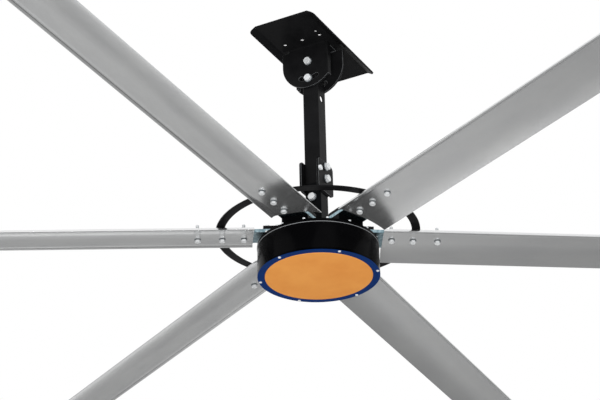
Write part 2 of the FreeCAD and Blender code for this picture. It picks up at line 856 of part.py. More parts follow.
def spline(points, start, end):
    """Curve through points with given directions at its ends."""
    curve = Part.BSplineCurve()
    vectors = [FreeCAD.Vector(x, y, 0) for x, y in points]
    curve.interpolate(Points=vectors, InitialTangent=FreeCAD.Vector(*start, 0),
                      FinalTangent=FreeCAD.Vector(*end, 0))
    return curve


def blade_outline():
    """Outer curves of the blade's section, from its nose over the top to the tail and back."""
    front = size("blade_front").value
    back = size("blade_back").value
    top = blade_top.value
    bottom = blade_bottom.value
    land = size("land_half").value
    drop = size("nose_drop").value
    lip = size("nose_lip").value
    fall = size("tail_drop").value
    edge = size("tail_edge").value
    shoulder = size("spigot_back").value
    keel = size("spigot_front").value
    nose = (-front, -drop)
    chin = (lip / 2 - front, -drop - lip)
    tail = (back, edge - fall)
    heel = (back - edge / 2, -fall - edge / 4)
    brow = (-0.94 * front, -0.37 * drop)
    cheek = (-0.72 * front, 0.72 * top)
    slope = (0.74 * back, -0.12 * fall)
    belly = (0.77 * back, -bottom - 0.35 * fall)
    waist = (shoulder, -1.2 * bottom)
    throat = (-0.82 * front, -0.75 * bottom - 0.33 * drop)
    return [
        spline([nose, brow, cheek, (-land, top)], (0, 1), (1, 0)),
        Part.LineSegment(FreeCAD.Vector(-land, top, 0), FreeCAD.Vector(land, top, 0)),
        spline([(land, top), (shoulder, 0.82 * top), slope, tail], (1, 0), (0.86, -0.51)),
        Part.LineSegment(FreeCAD.Vector(*tail, 0), FreeCAD.Vector(*heel, 0)),
        spline([heel, belly, waist, (land, -bottom)], (-0.94, 0.34), (-1, 0)),
        Part.LineSegment(FreeCAD.Vector(land, -bottom, 0), FreeCAD.Vector(-keel, -bottom, 0)),
        spline([(-keel, -bottom), throat, chin, nose], (-1, 0), (0, 1)),
    ]


def height_at(curve, across):
    """Height of a section curve at a distance across the blade."""
    reach = size("blade_back").value
    upright = Part.LineSegment(FreeCAD.Vector(across, -reach, 0), FreeCAD.Vector(across, reach, 0))
    return curve.toShape().distToShape(upright.toShape())[1][0][0].y


def make_blade(index):
    """Hollow extruded blade with a box for its iron, a hollow tail and a groove by the nose."""
    body = new_body(f"blade_{index + 1}", blade_frame(index))
    outline = blade_outline()
    over, under = outline[2], outline[4]
    section = new_sketch(body, "YZ_Plane", shift(z=size("blade_root")))
    section.addGeometry(outline)
    pad(body, section, size("fan_radius") - size("blade_root"))
    hollows = new_sketch(body, "YZ_Plane")
    play = size("spigot_side_play")
    rectangle(hollows, -size("spigot_front") - play, -spigot_half, size("spigot_back") + play, spigot_half)
    wall = size("skin_tail").value
    start = (size("spigot_back") + play + size("web")).value
    places = [start, 0.65 * size("blade_back").value, 0.8 * size("blade_back").value]
    polygon(hollows, [(place, height_at(under, place) + wall) for place in places]
            + [(place, height_at(over, place) - wall) for place in reversed(places)])
    pocket(body, hollows)
    groove = new_sketch(body, "YZ_Plane")
    left = size("groove_from_front") - size("blade_front")
    right = left + size("groove_width")
    rectangle(groove, left, -blade_bottom * 2, right, size("groove_depth") - blade_bottom)
    pocket(body, groove)
    holes = new_sketch(body)
    for radius in (size("bolt_inner"), size("bolt_ring"), size("bolt_outer")):
        circle(holes, radius, 0, size("medium_bolt") / 2 + size("hole_clearance"))
    pocket(body, holes)


def clamp_screw_places():
    """Places of one clamp's screws in the blade's frame, through clamp and spigot."""
    inset = size("clamp_screw_inset")
    return [(radius, y) for radius in (size("clamp_start") + inset, size("clamp_end") - inset)
            for y in (inset - size("spigot_front"), size("spigot_back") - inset)]


def make_clamp(index):
    """Bar that holds one spigot down on its seat."""
    body = new_body(f"clamp_{index + 1}", blade_frame(index) * shift(z=spigot_half))
    sketch = new_sketch(body)
    rectangle(sketch, size("clamp_start"), -size("spigot_front"), size("clamp_end"), size("spigot_back"))
    pad(body, sketch, size("clamp_thickness"))
    holes = new_sketch(body)
    for x, y in clamp_screw_places():
        circle(holes, x, y, size("light_bolt") / 2 + size("hole_clearance"))
    pocket(body, holes)


def blade_sketch(body, height):
    """Sketch parallel to the first blade's spigot, at a height above its middle."""
    return new_sketch(body, offset=blade_offset() * shift(z=height))


def make_clamp_screws():
    """Hexagon screws of all six clamps."""
    body = new_body("clamp_screws", hub_frame)
    diameter = size("light_bolt")
    heads = blade_sketch(body, clamp_top)
    shanks = blade_sketch(body, clamp_top)
    for x, y in clamp_screw_places():
        hexagon(heads, x, y, diameter * size("head_width_ratio"))
        circle(shanks, x, y, diameter / 2)
    cap = pad(body, heads, diameter * size("head_height_ratio"))
    stem = pad(body, shanks, clamp_top + spigot_half + size("clamp_screw_depth"), reverse=True)
    polar(body, [cap, stem], size("blade_count"))


def make_blade_bolts(label, radii, seat, spare):
    """Bolts through the blades, heads below and nuts above on a seat height, with a spare end."""
    body = new_body(label, hub_frame)
    diameter = size("medium_bolt")
    washer = diameter * size("washer_height_ratio")
    start = -blade_bottom - washer
    heads = blade_sketch(body, start)
    shanks = blade_sketch(body, start)
    for radius in radii:
        hexagon(heads, radius, 0, diameter * size("head_width_ratio"))
        circle(shanks, radius, 0, diameter / 2)
    cap = pad(body, heads, diameter * size("head_height_ratio"), reverse=True)
    length = seat - start + diameter * size("nut_height_ratio") + spare
    stem = pad(body, shanks, length)
    polar(body, [cap, stem], size("blade_count"))


def make_blade_nuts():
    """Nuts of all the blade bolts; the middle ones stand on the ring's taper washers."""
    body = new_body("blade_nuts", hub_frame)
    diameter = size("medium_bolt")
    washer = diameter * size("washer_height_ratio")
    features = []
    for seat, radii in ((blade_top + washer, (size("bolt_inner"), size("bolt_outer"))),
                        (size("ring_nut_seat"), (size("bolt_ring"),))):
        sketch = blade_sketch(body, seat)
        for radius in radii:
            hexagon(sketch, radius, 0, diameter * size("head_width_ratio"))
            circle(sketch, radius, 0, diameter / 2 + size("running_clearance"))
        features.append(pad(body, sketch, diameter * size("nut_height_ratio")))
    polar(body, features, size("blade_count"))


def make_blade_washers():
    """Washers under the heads of all blade bolts and under the nuts of the short ones."""
    body = new_body("blade_washers", hub_frame)
    diameter = size("medium_bolt")
    washer = diameter * size("washer_height_ratio")
    short = (size("bolt_inner"), size("bolt_outer"))
    features = []
    for start, radii in ((-blade_bottom - washer, short + (size("bolt_ring"),)), (blade_top, short)):
        sketch = blade_sketch(body, start)
        for radius in radii:
            circle(sketch, radius, 0, diameter * size("washer_width_ratio") / 2)
            circle(sketch, radius, 0, diameter / 2 + size("hole_clearance"))
        features.append(pad(body, sketch, washer))
    polar(body, features, size("blade_count"))


def make_safety_ring():
    """Flat ring that ties the six blades together."""
    body = new_body("safety_ring", hub_frame)
    sketch = new_sketch(body, offset=shift(z=ring_height))
    circle(sketch, 0, 0, size("ring_outer"))
    circle(sketch, 0, 0, size("ring_inner"))
    pad(body, sketch, size("ring_thickness"))
    holes = blade_sketch(body, blade_top)
    circle(holes, size("bolt_ring"), 0, size("medium_bolt") / 2 + size("hole_clearance"))
    polar(body, [pocket(body, holes)], size("blade_count"))


def make_ring_wedges():
    """Round taper washers under and over the ring, on the middle bolts."""
    body = new_body("ring_wedges", hub_frame)
    diameter = size("medium_bolt")
    outer = diameter * size("washer_width_ratio") / 2
    sketch = blade_sketch(body, blade_top)
    circle(sketch, size("bolt_ring"), 0, outer)
    circle(sketch, size("bolt_ring"), 0, diameter / 2 + size("hole_clearance"))
    raised = pad(body, sketch, size("ring_nut_seat") - blade_top)
    space = new_sketch(body, offset=turn(Z, size("blade_angle")) * shift(z=ring_height))
    rectangle(space, size("bolt_ring") - outer * 2, -outer * 2, size("bolt_ring") + outer * 2, outer * 2)
    cut = pocket(body, space, size("ring_thickness"), reverse=True)
    polar(body, [raised, cut], size("blade_count"))


def make_ceiling_bracket():
    """Plate, yoke, welds and pivot bolt."""
    make_top_plate()
    make_yoke()
    make_yoke_welds()
    start = pivot_frame * shift(y=-cheek_outer) * FRONT_TO_BACK
    through_bolt("pivot", start, [(0, 0)], size("heavy_bolt"), cheek_outer * 2)


def make_hanger():
    """Tube, splice, stem and standing half of the motor."""
    make_drop_tube()
    slack = size("slide_gap")
    lock = pivot_frame * shift(y=-cheek_outer - slack, z=-size("slot_radius")) * FRONT_TO_BACK
    through_bolt("lock", lock, [(0, 0)], size("heavy_bolt"), cheek_outer * 2 + slack * 2)
    make_splice_plate("splice_plate_right", 1)
    make_splice_plate("splice_plate_left", -1)
    make_splice_welds()
    splice = pivot_frame * shift(x=splice_outer, z=-tube_bottom) * RIGHT_TO_LEFT
    through_bolt("splice", splice, splice_bolt_places(), size("heavy_bolt"), splice_outer * 2)
    hex_bolts("ear_screw", splice, [ear_screw_place()], size("medium_bolt"), size("splice_thickness"))
    make_stem()
    level = size("stem_height") + size("stem_bolt_height")
    stem = hub_frame * shift(y=-tube_half, z=level) * FRONT_TO_BACK
    through_bolt("stem", stem, [(0, 0)], size("heavy_bolt"), tube_half * 2)
    make_shaft()
    make_stator()
    make_bearing_rings("bearing_inner_rings", size("shaft_radius"), ball_inner)


def make_hub():
    """Turning casing, magnets and bearing halves."""
    make_drum()
    make_top_cover()
    make_screw_group("top_cover_screws", size("top_screw_angle"), size("top_screw_circle"),
                     size("top_screw_count"), size("top_screw"), hub_top, False,
                     size("top_screw") * size("cap_head_ratio"), size("top_screw"))
    make_magnets()
    make_bottom_cover()
    make_face_disc()
    make_screw_group("rim_screws", size("rim_screw_angle"), size("rim_screw_circle"),
                     size("blade_count"), size("rim_screw"), as_size(0), True,
                     size("rim_screw") * size("pan_head_ratio"), size("rim_screw") / 2)
    make_bearing_rings("bearing_outer_rings", ball_outer, bearing_outer)
    make_bearing_balls()


def make_blades():
    """Spigots, clamps, blades, their bolts and the safety ring."""
    for index in range(int(size("blade_count").value)):
        make_spigot(index)
        make_clamp(index)
        make_blade(index)
    make_clamp_screws()
    washer = size("medium_bolt") * size("washer_height_ratio")
    make_blade_bolts("blade_bolts", (size("bolt_inner"), size("bolt_outer")), blade_top + washer,
                     size("blade_bolt_end"))
    make_blade_bolts("ring_bolts", (size("bolt_ring"),), size("ring_nut_seat"), size("bolt_end"))
    make_blade_nuts()
    make_blade_washers()
    make_safety_ring()
    make_ring_wedges()


def check_and_export():
    """Stop on any broken feature or shape, then write one file per node."""
    doc.recompute()
    for item in doc.Objects:
        if "Invalid" in item.State or "Error" in item.State:
            raise RuntimeError(f"{item.Label} is not built: {item.State}")
    for body in nodes:
        if body.Shape.isNull() or not body.Shape.isValid() or not body.Shape.Solids:
            raise RuntimeError(f"{body.Label} has no valid shape")
    os.makedirs("parts", exist_ok=True)
    for body in nodes:
        body.Shape.exportStep(f"parts/{body.Label}.step")


make_ceiling_bracket()
make_hanger()
make_hub()
make_blades()
check_and_export()
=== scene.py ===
# Looks of an industrial ceiling fan: painted steel hanger, black motor hub with a plain
# orange face, and six extruded aluminium blades. MM turns millimetres into Blender's metres.
import json
import math

import bmesh
import bpy
from mathutils import Matrix, Vector


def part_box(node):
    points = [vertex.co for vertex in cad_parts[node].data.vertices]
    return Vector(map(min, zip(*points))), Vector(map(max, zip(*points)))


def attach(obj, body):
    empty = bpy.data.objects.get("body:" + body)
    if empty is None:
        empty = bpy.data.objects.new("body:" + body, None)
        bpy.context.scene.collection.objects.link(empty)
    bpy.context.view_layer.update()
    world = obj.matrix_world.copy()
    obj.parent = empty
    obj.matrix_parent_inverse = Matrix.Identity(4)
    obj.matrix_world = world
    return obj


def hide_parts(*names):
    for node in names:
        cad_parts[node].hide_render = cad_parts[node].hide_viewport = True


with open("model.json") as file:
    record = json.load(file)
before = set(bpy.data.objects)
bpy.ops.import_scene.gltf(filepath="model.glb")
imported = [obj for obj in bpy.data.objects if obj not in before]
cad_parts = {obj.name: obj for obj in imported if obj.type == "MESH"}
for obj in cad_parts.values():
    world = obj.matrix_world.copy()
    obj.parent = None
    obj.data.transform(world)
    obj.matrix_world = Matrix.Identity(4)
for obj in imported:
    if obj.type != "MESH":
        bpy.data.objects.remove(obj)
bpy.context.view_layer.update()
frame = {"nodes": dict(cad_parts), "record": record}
nodes = frame["nodes"]
scene = bpy.context.scene
MM = 0.001

# Sizes of the solids that the added pieces follow, in millimetres and degrees
BLADE_COUNT = 6
HUB_DROP = 903
PIVOT_DROP = 71
LOCK_DROP = 70
TUBE_END_DROP = 558
TUBE_HALF = 30
CHEEK_OUTER = 38.5
SLIDE_GAP = 0.1
SPLICE_OUTER = 38
SPLICE_BOLTS = (67, 20)
SPLICE_THICKNESS = 8
EAR_SCREW = (43, -46)
STEM_BOLT_DROP = 613
BLADE_ANGLE = 31.8
BLADE_HEIGHT = 153.4
BLADE_DROOP = 1.25
BLADE_PITCH = 4.9
BLADE_TOP = 10
BLADE_BOTTOM = 9
BOLT_INNER = 253
BOLT_RING = 327
BOLT_OUTER = 411
RING_NUT_SEAT = 22.5
CLAMP_TOP = 18
CLAMP_COLUMNS = (140, 175)
CLAMP_ROWS = (-28, 42)
CLAMP_SCREW_LENGTH = 38
CLAMP_SCREW_THREAD = 20
DRUM_LIP = 105
TOP_SCREW_RADIUS = 203
TOP_SCREW_ANGLE = 14.6
TOP_SCREW_COUNT = 16
HUB_TOP = 117
RIM_SCREW_RADIUS = 202
RIM_SCREW_ANGLE = 17.8
HEAVY_BOLT = 16
MEDIUM_BOLT = 12
LIGHT_BOLT = 10
TOP_SCREW = 6
RIM_SCREW = 6
WELD_LEG = 6
BOLT_END = 4
BLADE_BOLT_END = 21

# Shares of the thread diameter, and the slope of a hexagon's bevelled corners
WASHER_HEIGHT = 0.18
NUT_HEIGHT = 0.85
THREAD_PITCH = 0.13
HEAD_HEIGHT = 0.64
HEXAGON_WIDTH = 1.5
HEXAGON_SEAT = 0.71
HEXAGON_SLOPE = 0.58

# Drawn detail: length of one weld ripple, edge widths in millimetres, points round a fastener,
# and the radians that the wave texture runs through in one unit
WELD_RIPPLE = 2.4
PLATE_EDGE = 1.8
CLAMP_EDGE = 1.0
IRON_EDGE = 0.8
TUBE_EDGE = 0.6
COLUMNS = 36
WAVE_RATE = 20

# Stage, in metres
FLOOR_LEVEL = -5.4
FLOOR_HALF = 60
HUB_POINT = (0, 0, -0.9)


# Small tools

def linear(code):
    """Linear colour of an sRGB hex value."""
    channels = [int(code[start:start + 2], 16) / 255 for start in (1, 3, 5)]
    return tuple(c / 12.92 if c <= 0.04045 else ((c + 0.055) / 1.055) ** 2.4 for c in channels) + (1.0,)


def add(tree, kind, inputs=None, **settings):
    """Add a node, set its properties, and fill its inputs with values or links."""
    node = tree.nodes.new(kind)
    for name, value in settings.items():
        setattr(node, name, value)
    for name, value in (inputs or {}).items():
        named = [socket for socket in node.inputs if name in (socket.identifier, socket.name)]
        if isinstance(value, bpy.types.NodeSocket):
            tree.links.new(value, named[0])
        else:
            named[0].default_value = value
    return node


def compute(tree, operation, *values):
    """Result of a Math node on values or links."""
    inputs = dict(zip(("Value", "Value_001", "Value_002"), values))
    return add(tree, "ShaderNodeMath", inputs, operation=operation).outputs["Value"]


def blend(tree, share, first, second):
    """Mix of two shaders by a share."""
    inputs = {"Fac": share, "Shader": first, "Shader_001": second}
    return add(tree, "ShaderNodeMixShader", inputs).outputs["Shader"]


def ramp(node, *stops):
    """Set a colour ramp's stops from places and hex values."""
    elements = node.color_ramp.elements
    while len(elements) < len(stops):
        elements.new(0.5)
    for element, (place, code) in zip(elements, stops):
        element.position = place
        element.color = linear(code)
    return node


def new_material(name):
    """Start a material: its tree, its shader and its Object coordinates."""
    material = bpy.data.materials.new(name)
    material.use_nodes = True
    tree = material.node_tree
    shader = tree.nodes["Principled BSDF"]
    place = add(tree, "ShaderNodeTexCoord").outputs["Object"]
    return material, tree, shader, place


def drive(tree, shader, colour=None, roughness=None, normal=None):
    """Link a shader's colour, roughness and normal."""
    for socket, output in (("Base Color", colour), ("Roughness", roughness), ("Normal", normal)):
        if output is not None:
            tree.links.new(output, shader.inputs[socket])


def grain(size):
    """Texture scale that gives cells of a size in millimetres."""
    return 1 / (size * MM)


# Textures and materials

def noise(tree, place, size, detail, **inputs):
    """Cloudy texture with patches of a size in millimetres."""
    settings = {"Vector": place, "Scale": grain(size), "Detail": detail, **inputs}
    return add(tree, "ShaderNodeTexNoise", settings).outputs["Fac"]


def bands(tree, place, size, direction, distortion=0.0):
    """Wavy bands across a direction; one whole wave is 2 pi times the size in millimetres."""
    settings = {"Vector": place, "Scale": grain(size) / WAVE_RATE, "Distortion": distortion}
    return add(tree, "ShaderNodeTexWave", settings, bands_direction=direction).outputs["Fac"]


def tint(tree, value, *stops):
    """Colour that follows a value through places and hex values."""
    return ramp(add(tree, "ShaderNodeValToRGB", {"Fac": value}), *stops).outputs["Color"]


def spread(tree, value, low, high, start=0.0, end=1.0):
    """Value taken from between a start and an end to between a low and a high."""
    settings = {"Value": value, "From Min": start, "From Max": end, "To Min": low, "To Max": high}
    return add(tree, "ShaderNodeMapRange", settings).outputs["Result"]


def relief(tree, height, strength, depth):
    """Surface bumps of a depth in millimetres."""
    settings = {"Height": height, "Strength": strength, "Distance": depth * MM}
    return add(tree, "ShaderNodeBump", settings).outputs["Normal"]


def gloss_black_powder_coat():
    """Powder-coated steel: deep black, soft gloss and a faint orange peel."""
    material, tree, shader, place = new_material("black_powder_coat_on_steel")
    shader.inputs["Specular IOR Level"].default_value = 0.04
    cloud = noise(tree, place, 45, 4.0)
    colour = tint(tree, cloud, (0.3, "#121213"), (0.75, "#19191A"))
    gloss = spread(tree, cloud, 0.3, 0.42, 0.3, 0.7)
    # the real peel is near 1.5 mm and is drawn at 4 mm so that it shows
    peel = noise(tree, place, 4, 1.0)
    drive(tree, shader, colour, gloss, relief(tree, peel, 0.08, 0.4))
    return material


def painted_highlight_black_edge():
    """Painted highlight on the sharp edges: the powder coat drawn light grey there for the light that
    rounded edges catch.
    """
    material, tree, shader, place = new_material("painted_highlight_black_edge")
    shader.inputs["Specular IOR Level"].default_value = 0.1
    cloud = noise(tree, place, 25, 4.0)
    colour = tint(tree, cloud, (0.3, "#56585A"), (0.75, "#7A7C7E"))
    drive(tree, shader, colour, spread(tree, cloud, 0.3, 0.45))
    return material


def gloss_black_casing_paint():
    """Gloss paint on turned aluminium: nearly black, lathe rings under it, and a thin light grey band at the
    drum's lip that is a painted highlight.
    """
    material, tree, shader, place = new_material("gloss_black_paint_on_aluminium")
    shader.inputs["Specular IOR Level"].default_value = 0.03
    cloud = noise(tree, place, 60, 3.0)
    height = add(tree, "ShaderNodeSeparateXYZ", {"Vector": place}).outputs["Z"]
    # a thin band at the lip's height is painted light grey: a painted highlight of the lip's edge
    lip_highlight_band = compute(tree, "COMPARE", height, (DRUM_LIP - HUB_DROP) * MM, 0.7 * MM)
    mark = compute(tree, "ADD", cloud, lip_highlight_band)
    colour = tint(tree, mark, (0.3, "#040405"), (0.75, "#070708"), (1.0, "#8E9092"))
    gloss = spread(tree, cloud, 0.18, 0.27, 0.3, 0.7)
    # lathe rings are about 1 mm apart and are drawn about 31 mm apart so that they show
    rings = bands(tree, place, 5, "Z", 0.4)
    drive(tree, shader, colour, gloss, relief(tree, rings, 0.1, 0.3))
    return material


def gloss_black_stem_paint():
    """Gloss paint on the square stem: blacker and smoother than the powder coat above it."""
    material, tree, shader, place = new_material("gloss_black_paint_on_steel")
    shader.inputs["Specular IOR Level"].default_value = 0.03
    cloud = noise(tree, place, 40, 3.0)
    colour = tint(tree, cloud, (0.3, "#050607"), (0.75, "#0A0C0E"))
    drive(tree, shader, colour, spread(tree, cloud, 0.14, 0.24, 0.3, 0.7))
    return material


def gloss_blue_enamel():
    """Enamelled lower cover: deep blue on its face, black on its turned edge."""
    material, tree, shader, place = new_material("gloss_blue_enamel")
    shader.inputs["Specular IOR Level"].default_value = 0.03
    cloud = noise(tree, place, 30, 3.0)
    blue = tint(tree, cloud, (0.3, "#002A66"), (0.7, "#00306F"))
    height = add(tree, "ShaderNodeSeparateXYZ", {"Vector": place}).outputs["Z"]
    face = compute(tree, "LESS_THAN", height, (1 - HUB_DROP) * MM)
    colour = add(tree, "ShaderNodeVectorMath", {"Vector": blue, "Scale": face}, operation="SCALE")
    drive(tree, shader, colour.outputs["Vector"], spread(tree, cloud, 0.24, 0.36))
    return material


def satin_orange_paint():
    """Satin paint on the face disc: even orange with slight cloudiness and a fine grain."""
    material, tree, shader, place = new_material("satin_orange_paint")
    shader.inputs["Specular IOR Level"].default_value = 0.05
    cloud = noise(tree, place, 110, 3.0, Roughness=0.6)
    colour = tint(tree, cloud, (0.3, "#EC9A4A"), (0.7, "#F4A654"))
    peel = noise(tree, place, 4, 1.0)
    drive(tree, shader, colour, spread(tree, cloud, 0.38, 0.52), relief(tree, peel, 0.05, 0.3))
    return material


def bright_zinc():
    """Bright zinc plating of bolts, nuts and screws: cool silver with small dull patches."""
    material, tree, shader, place = new_material("bright_zinc_plating")
    shader.inputs["Metallic"].default_value = 0.3
    patch = noise(tree, place, 7, 4.0)
    colour = tint(tree, patch, (0.3, "#E2E6E8"), (0.7, "#F6F7F8"))
    drive(tree, shader, colour, spread(tree, patch, 0.14, 0.3))
    return material


def shaded_washer_zinc():
    """Zinc plating of the washers: rougher than the bolts, and coloured darker as a painted shade round the
    bolt heads.
    """
    material, tree, shader, place = new_material("dull_zinc_plating")
    shader.inputs["Metallic"].default_value = 0.8
    patch = noise(tree, place, 5, 4.0)
    colour = tint(tree, patch, (0.3, "#7C8286"), (0.7, "#949A9E"))
    drive(tree, shader, colour, spread(tree, patch, 0.3, 0.5))
    return material


def blue_zinc():
    """Thick bluish zinc on the blade irons, with the patchy crystals of plating."""
    material, tree, shader, place = new_material("blue_zinc_plating")
    shader.inputs["Metallic"].default_value = 1.0
    flakes = add(tree, "ShaderNodeTexVoronoi", {"Vector": place, "Scale": grain(9)}).outputs["Distance"]
    colour = tint(tree, flakes, (0.1, "#B6CCD4"), (0.7, "#7F9AA4"))
    drive(tree, shader, colour, spread(tree, flakes, 0.25, 0.4))
    return material


def extruded_aluminium(angle):
    """Mill-finish extruded aluminium: satin silver with die lines along the blade and cloudy patches."""
    material, tree, shader, place = new_material("extruded_aluminium")
    shader.inputs["Metallic"].default_value = 0.88
    spin = {"Vector": place, "Rotation": (0, 0, -math.radians(angle))}
    along = add(tree, "ShaderNodeMapping", spin).outputs["Vector"]
    stretched = add(tree, "ShaderNodeMapping", {"Vector": along, "Scale": (0.012, 1, 1)}).outputs["Vector"]
    patchy = add(tree, "ShaderNodeMapping", {"Vector": along, "Scale": (0.35, 1, 1)}).outputs["Vector"]
    # die lines are finer than a millimetre and are drawn 12 mm wide so that they show
    lines = noise(tree, stretched, 12, 1.0)
    patch = noise(tree, patchy, 70, 2.0, Roughness=0.5)
    both = compute(tree, "ADD", lines, patch)
    colour = tint(tree, patch, (0.3, "#DADBDC"), (0.7, "#E1E2E2"))
    gloss = spread(tree, both, 0.19, 0.25, 0.7, 1.3)
    drive(tree, shader, colour, gloss, relief(tree, lines, 0.02, 0.25))
    return material


def ground_steel():
    """Ground bearing steel and shaft: bright, with rings of the grinding wheel."""
    material, tree, shader, place = new_material("ground_steel")
    shader.inputs["Metallic"].default_value = 1.0
    rings = bands(tree, place, 2, "Z", 1.0)
    colour = tint(tree, rings, (0.0, "#B9BCBE"), (1.0, "#C9CBCD"))
    drive(tree, shader, colour, spread(tree, rings, 0.18, 0.28))
    return material


def cast_iron():
    """Sand-cast stator carrier: dark grey and grainy."""
    material, tree, shader, place = new_material("sand_cast_iron")
    shader.inputs["Metallic"].default_value = 0.6
    sand = noise(tree, place, 3, 6.0)
    colour = tint(tree, sand, (0.3, "#55565A"), (0.7, "#77787B"))
    drive(tree, shader, colour, spread(tree, sand, 0.5, 0.75), relief(tree, sand, 0.4, 0.5))
    return material


def stacked_core_sheets():
    """Stacked motor sheets: bands of oiled grey steel."""
    material, tree, shader, place = new_material("stacked_core_steel")
    shader.inputs["Metallic"].default_value = 0.9
    shader.inputs["Roughness"].default_value = 0.45
    sheets = bands(tree, place, 1, "Z")
    colour = tint(tree, sheets, (0.0, "#5C5E62"), (1.0, "#8A8C90"))
    drive(tree, shader, colour, normal=relief(tree, sheets, 0.5, 0.2))
    return material


def varnished_copper():
    """Varnished winding wire: orange-brown rows with a glassy coat."""
    material, tree, shader, place = new_material("varnished_copper_wire")
    shader.inputs["Metallic"].default_value = 0.8
    shader.inputs["Roughness"].default_value = 0.35
    shader.inputs["Coat Weight"].default_value = 0.6
    rows = bands(tree, place, 1.2, "X")
    colour = tint(tree, rows, (0.0, "#8A4A22"), (1.0, "#C57A42"))
    drive(tree, shader, colour, normal=relief(tree, rows, 0.8, 0.5))
    return material


def sintered_magnet():
    """Uncoated sintered magnets: dark, even and fine grained."""
    material, tree, shader, place = new_material("sintered_magnet")
    shader.inputs["Metallic"].default_value = 0.5
    dust = noise(tree, place, 2, 4.0)
    colour = tint(tree, dust, (0.3, "#4B4C50"), (0.7, "#5E6064"))
    drive(tree, shader, colour, spread(tree, dust, 0.45, 0.65))
    return material


def floor_paint():
    """Plain grey studio floor, see-through from below so that it never hides the part."""
    material, tree, shader, place = new_material("grey_floor_paint")
    shader.inputs["Roughness"].default_value = 0.3
    cloud = noise(tree, place, 900, 3.0)
    drive(tree, shader, tint(tree, cloud, (0.3, "#8A8A89"), (0.7, "#909090")))
    side = add(tree, "ShaderNodeNewGeometry").outputs["Backfacing"]
    clear = add(tree, "ShaderNodeBsdfTransparent").outputs["BSDF"]
    mixed = blend(tree, side, shader.outputs["BSDF"], clear)
    tree.links.new(mixed, tree.nodes["Material Output"].inputs["Surface"])
    return material


# Places of the fasteners, each a matrix whose Z axis runs from the head along the shank

def moved(x=0, y=0, z=0):
    """Matrix that moves by millimetres."""
    return Matrix.Translation(Vector((x, y, z)) * MM)


def turned(axis, angle):
    """Matrix that turns about an axis by degrees."""
    return Matrix.Rotation(math.radians(angle), 4, axis)


ACROSS = Vector((1, 0, 0))
BACK = Vector((0, 1, 0))
UP = Vector((0, 0, 1))
HUB = moved(z=-HUB_DROP)
FLIPPED = turned("X", 180)
FRONT_TO_BACK = turned("X", -90)
RIGHT_TO_LEFT = turned("Y", -90)


def blade_turn(index):
    """Angle of one blade about the hub's axis, in degrees."""
    return BLADE_ANGLE + 360 / BLADE_COUNT * index


def blade_frame(index):
    """Frame of one blade: X outwards, -Y to the leading edge."""
    root = HUB @ turned("Z", blade_turn(index)) @ moved(z=BLADE_HEIGHT)
    return root @ turned("Y", BLADE_DROOP) @ turned("X", -BLADE_PITCH)


def on_blades(radii, height):
    """Places on the middle line of all the blades."""
    return [blade_frame(index) @ moved(radius, 0, height)
            for index in range(BLADE_COUNT) for radius in radii]


def round_hub(radius, count, first, height):
    """Places on a circle about the hub's axis."""
    angles = [first + 360 / count * index for index in range(count)]
    return [HUB @ turned("Z", angle) @ moved(radius, 0, height) for angle in angles]


def splice_places():
    """Places of the splice bolts and of the ear screw on the right splice plate."""
    start = moved(SPLICE_OUTER, 0, -TUBE_END_DROP) @ RIGHT_TO_LEFT
    return [start @ moved(height) for height in SPLICE_BOLTS], start @ moved(*EAR_SCREW)


def clamp_screw_places():
    """Places of the clamp screws, shanks down."""
    return [blade_frame(index) @ moved(x, y, CLAMP_TOP) @ FLIPPED
            for index in range(BLADE_COUNT) for x in CLAMP_COLUMNS for y in CLAMP_ROWS]


# Turned and six-sided templates for one millimetre of thread diameter

def circle_ring(radius, height):
    """Ring of points on a circle."""
    angles = [2 * math.pi * step / COLUMNS for step in range(COLUMNS)]
    return [Vector((radius * math.cos(a), radius * math.sin(a), height)) for a in angles]


def hexagon_ring(across, height, rise=0.0, start=0.0):
    """Ring of points on a hexagon, raised by a slope beyond a starting radius."""
    ring = []
    for step in range(COLUMNS):
        angle = 2 * math.pi * step / COLUMNS
        off = (angle + math.pi / 6) % (math.pi / 3) - math.pi / 6
        radius = across / 2 / math.cos(off - math.copysign(math.pi / 6, off))
        lift = rise * max(radius - start, 0)
        ring.append(Vector((radius * math.cos(angle), radius * math.sin(angle), height + lift)))
    return ring


def cross_ring(reach, width, height):
    """Ring of points on a cross."""
    ring = []
    for step in range(COLUMNS):
        angle = 2 * math.pi * step / COLUMNS
        arm = abs((angle + math.pi / 4) % (math.pi / 2) - math.pi / 4) < math.radians(12)
        radius = reach if arm else width
        ring.append(Vector((radius * math.cos(angle), radius * math.sin(angle), height)))
    return ring


def mesh_from_rings(name, rings, loop=False):
    """Skin over rings of points, closed by end faces or back to the first ring."""
    work = bmesh.new()
    rows = [[work.verts.new(point * MM) for point in ring] for ring in rings]
    pairs = list(zip(rows, rows[1:]))
    if loop:
        pairs.append((rows[-1], rows[0]))
    else:
        work.faces.new(rows[0])
        work.faces.new(rows[-1])
    for lower, upper in pairs:
        for step in range(COLUMNS):
            following = (step + 1) % COLUMNS
            work.faces.new((lower[step], lower[following], upper[following], upper[step]))
    bmesh.ops.recalc_face_normals(work, faces=work.faces)
    mesh = bpy.data.meshes.new(name)
    work.to_mesh(mesh)
    work.free()
    mesh.polygons.foreach_set("use_smooth", [True] * len(mesh.polygons))
    mesh.set_sharp_from_angle(angle=math.radians(28))
    return bpy.data.objects.new(name, mesh)


def hexagon_head():
    """Bolt head below the seat, with the rounded corners that turning leaves."""
    return mesh_from_rings("hexagon_head", [
        circle_ring(0.62, -0.6), circle_ring(0.66, -HEAD_HEIGHT), circle_ring(HEXAGON_SEAT, -HEAD_HEIGHT),
        hexagon_ring(HEXAGON_WIDTH, -HEAD_HEIGHT, HEXAGON_SLOPE, HEXAGON_SEAT),
        hexagon_ring(HEXAGON_WIDTH, -0.04), circle_ring(HEXAGON_SEAT, -0.04), circle_ring(HEXAGON_SEAT, 0)])


